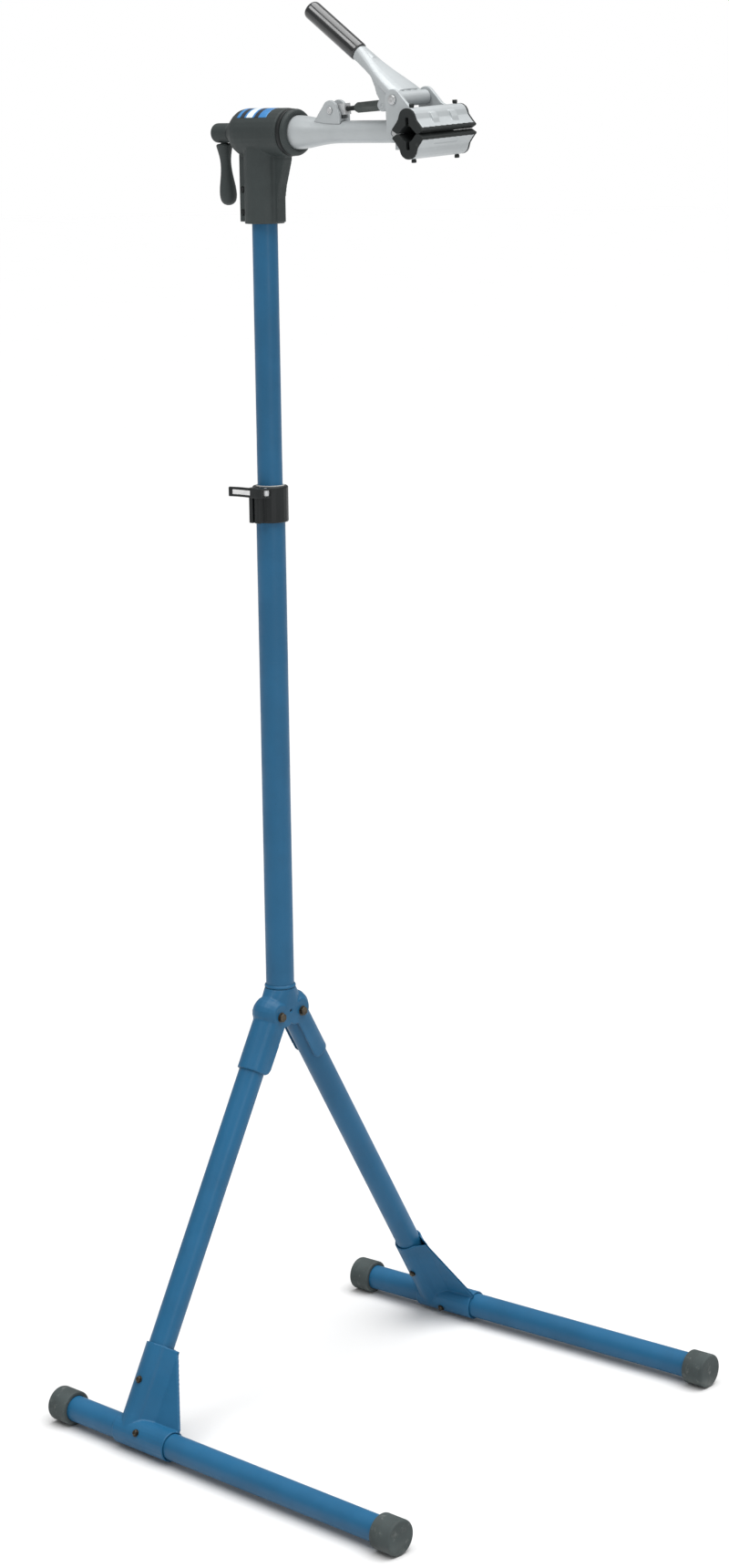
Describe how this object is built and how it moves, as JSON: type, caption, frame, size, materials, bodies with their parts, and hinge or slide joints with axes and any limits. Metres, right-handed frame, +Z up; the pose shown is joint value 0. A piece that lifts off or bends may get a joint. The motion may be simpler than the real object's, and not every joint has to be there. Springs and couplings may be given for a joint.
{
  "type": "bike repair stand",
  "caption": "Two-legged folding bike repair stand with a telescopic mast, quick-release collar and a rotating linkage clamp with an adjustable over-centre lever.",
  "frame": {"origin": "middle of the footprint on the floor", "axes": "+Z up along the mast, +X the way the clamp arm and the long ends of the feet point, +Y to the right foot"},
  "size_m": [0.538, 0.6094, 1.6036],
  "materials": {
    "blue_paint": "satin enamel",
    "casting_paint": "rough matt paint",
    "silver_paint": "satin silver paint",
    "black_metal": "satin black",
    "grip": "gloss",
    "foot_rubber": "matt",
    "jaw_rubber": "matt",
    "zinc": "zinc plated",
    "steel": "plain",
    "adjuster_paint": "satin",
    "bushing_plastic": "matt"
  },
  "bodies": {
    "stand_base": {"lower_mast_tube": "blue_paint", "mast_foot_ring": "blue_paint", "hub_bracket": "blue_paint", "left_leg_pivot_bolt": "zinc", "right_leg_pivot_bolt": "zinc", "left_leg_pivot_nut": "zinc", "right_leg_pivot_nut": "zinc", "mast_collar": "black_metal", "collar_bolt": "steel", "collar_nut": "steel", "collar_lever_pin": "steel"},
    "collar_lever": {"collar_lever": "black_metal"},
    "left_leg": {"left_leg_tube": "blue_paint", "left_foot_tube": "blue_paint", "left_front_foot_cap": "foot_rubber", "left_rear_foot_cap": "foot_rubber", "left_foot_bracket_near_half": "blue_paint", "left_foot_bracket_far_half": "blue_paint", "left_leg_bracket_bolt": "zinc", "left_foot_bracket_bolt": "zinc"},
    "right_leg": {"right_leg_tube": "blue_paint", "right_foot_tube": "blue_paint", "right_front_foot_cap": "foot_rubber", "right_rear_foot_cap": "foot_rubber", "right_foot_bracket_near_half": "blue_paint", "right_foot_bracket_far_half": "blue_paint", "right_leg_bracket_bolt": "zinc", "right_foot_bracket_bolt": "zinc"},
    "mast_bushing": {"mast_bushing": "bushing_plastic"},
    "upper_mast": {"upper_mast_tube": "blue_paint", "head_casting": "casting_paint", "head_clamp_bolt_1": "black_metal", "head_clamp_bolt_2": "black_metal", "arm_bushing": "black_metal"},
    "lock_handle": {"lock_handle_hub": "casting_paint", "lock_handle_grip": "casting_paint", "draw_bolt": "steel"},
    "clamp_arm": {"clamp_arm": "silver_paint", "arm_flange_ring": "casting_paint", "arm_plug": "steel", "arm_bracket": "silver_paint", "arm_bracket_pin": "steel", "jaw_hinge_pin": "steel", "lower_jaw": "silver_paint", "lower_jaw_cover": "jaw_rubber"},
    "upper_jaw": {"upper_jaw": "silver_paint", "upper_jaw_cover": "jaw_rubber"},
    "clamp_lever": {"clamp_lever": "silver_paint", "lever_grip": "grip", "lever_pivot_pin": "steel"},
    "adjusting_link": {"link_block": "steel", "adjuster_rod": "black_metal", "link_pin": "steel"},
    "adjuster_barrel": {"adjuster_barrel": "adjuster_paint"}
  },
  "joints": [
    {"name": "mast_swivel", "type": "hinge", "parent": "stand_base", "child": "mast_bushing", "pos_m": [-0.15151, 0, 1.06], "axis": [0, 0, 1], "continuous": true},
    {"name": "mast_height", "type": "slide", "parent": "mast_bushing", "child": "upper_mast", "axis": [0, 0, 1], "range_m": [-0.285, 0.17]},
    {"name": "arm_turn", "type": "hinge", "parent": "upper_mast", "child": "clamp_arm", "pos_m": [-0.15151, 0, 1.466], "axis": [1, 0, 0], "continuous": true},
    {"name": "lock_handle_turn", "type": "hinge", "parent": "upper_mast", "child": "lock_handle", "pos_m": [-0.21191, 0, 1.466], "axis": [1, 0, 0], "continuous": true},
    {"name": "collar_lever_swing", "type": "hinge", "parent": "stand_base", "child": "collar_lever", "pos_m": [-0.13721, -0.0236, 1.0689], "axis": [0, 0, 1], "range_deg": [0, 150]},
    {"name": "left_leg_fold", "type": "hinge", "parent": "stand_base", "child": "left_leg", "pos_m": [-0.15151, -0.0183, 0.454], "axis": [1, 0, 0], "range_deg": [0, 29]},
    {"name": "right_leg_fold", "type": "hinge", "parent": "stand_base", "child": "right_leg", "pos_m": [-0.15151, 0.0183, 0.454], "axis": [-1, 0, 0], "range_deg": [0, 29]},
    {"name": "lever_lift", "type": "hinge", "parent": "upper_jaw", "child": "clamp_lever", "pos_m": [0.06349, -0.00187, 1.50045], "axis": [0, 0.9985, 0.0541], "range_deg": [0, 87]},
    {"name": "jaw_open", "type": "hinge", "parent": "clamp_arm", "child": "upper_jaw", "pos_m": [0.06349, 0, 1.466], "axis": [0, -0.9985, -0.0541], "range_deg": [0, 25.1]},
    {"name": "link_swing", "type": "hinge", "parent": "clamp_arm", "child": "adjusting_link", "pos_m": [-0.04351, -0.00127, 1.48947], "axis": [0, -0.9985, -0.0541], "range_deg": [0, 18.1]},
    {"name": "adjuster_turn", "type": "hinge", "parent": "adjusting_link", "child": "adjuster_barrel", "pos_m": [-0.04351, -0.00127, 1.48947], "axis": [0.9981, -0.0033, 0.0615], "continuous": true}
  ],
  "couplings": [
    {"joint": "jaw_open", "follows": "lever_lift", "ratio": 0.28736},
    {"joint": "link_swing", "follows": "lever_lift", "ratio": 0.20667}
  ]
}
